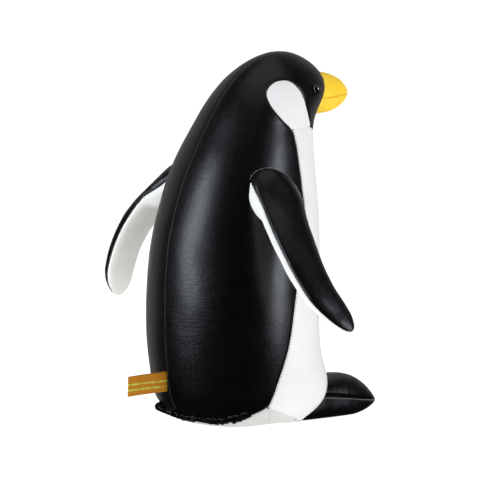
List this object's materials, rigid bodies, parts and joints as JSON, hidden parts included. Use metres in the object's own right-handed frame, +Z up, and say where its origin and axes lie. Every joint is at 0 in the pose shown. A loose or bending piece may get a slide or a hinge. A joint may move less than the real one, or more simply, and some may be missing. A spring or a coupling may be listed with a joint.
{
  "type": "stuffed penguin",
  "caption": "Standing stuffed penguin in black and white leatherette with hinged sewn wings, beak, feet, a woven back label and a weighted flat base.",
  "frame": {"origin": "under the middle of the penguin, on the surface that it stands on", "axes": "+Z up, -Y the way the penguin faces, +X its left"},
  "size_m": [0.283, 0.1997, 0.2699],
  "materials": {
    "black_leatherette": "satin",
    "white_leatherette": "satin",
    "base_leatherette": "matte",
    "yellow_leatherette": "satin",
    "eye_bead": "gloss",
    "eye_washer": "matte",
    "fibre_fill": "matte",
    "bag_cloth": "matte",
    "iron": "satin",
    "thread": "satin",
    "woven_label": "satin"
  },
  "bodies": {
    "body": {"back_panel_right": "black_leatherette", "back_panel_left": "black_leatherette", "cheek_patch_right": "white_leatherette", "cheek_patch_left": "white_leatherette", "belly_panel": "white_leatherette", "base_gusset_right": "base_leatherette", "base_gusset_left": "base_leatherette", "base_panel": "base_leatherette", "base_ruffle": "black_leatherette", "body_filling": "fibre_fill", "pellet_bag": "bag_cloth", "iron_pellets": "iron", "eye_right": "eye_bead", "eye_left": "eye_bead", "eye_washer_right": "eye_washer", "eye_washer_left": "eye_washer", "beak_upper": "yellow_leatherette", "beak_lower": "yellow_leatherette", "beak_filling": "fibre_fill", "foot_upper_right": "black_leatherette", "foot_upper_left": "black_leatherette", "foot_sole_right": "black_leatherette", "foot_sole_left": "black_leatherette", "foot_filling_right": "fibre_fill", "foot_filling_left": "fibre_fill", "belly_thread_right": "thread", "belly_thread_left": "thread", "back_seam_thread": "thread"},
    "right_wing": {"wing_outer_right": "black_leatherette", "wing_inner_right": "white_leatherette", "wing_filling_right": "fibre_fill", "wing_thread_right": "thread"},
    "left_wing": {"wing_outer_left": "black_leatherette", "wing_inner_left": "white_leatherette", "wing_filling_left": "fibre_fill", "wing_thread_left": "thread"},
    "back_label": {"label": "woven_label"}
  },
  "joints": [
    {"name": "right_shoulder", "type": "hinge", "parent": "body", "child": "right_wing", "pos_m": [-0.0572, 0.011, 0.181], "axis": [0.2079, 0.9781, 0], "range_deg": [-10, 50], "stiffness_Nm_per_rad": 0.08, "springref_deg": 3.44},
    {"name": "left_shoulder", "type": "hinge", "parent": "body", "child": "left_wing", "pos_m": [0.0572, 0.011, 0.181], "axis": [0.2079, -0.9781, 0], "range_deg": [-10, 50], "stiffness_Nm_per_rad": 0.08, "springref_deg": 3.44},
    {"name": "label_hinge", "type": "hinge", "parent": "body", "child": "back_label", "pos_m": [0, 0.0689, 0.0331], "axis": [0, 0.0227, 0.9997], "range_deg": [-60, 60], "stiffness_Nm_per_rad": 0.003}
  ]
}
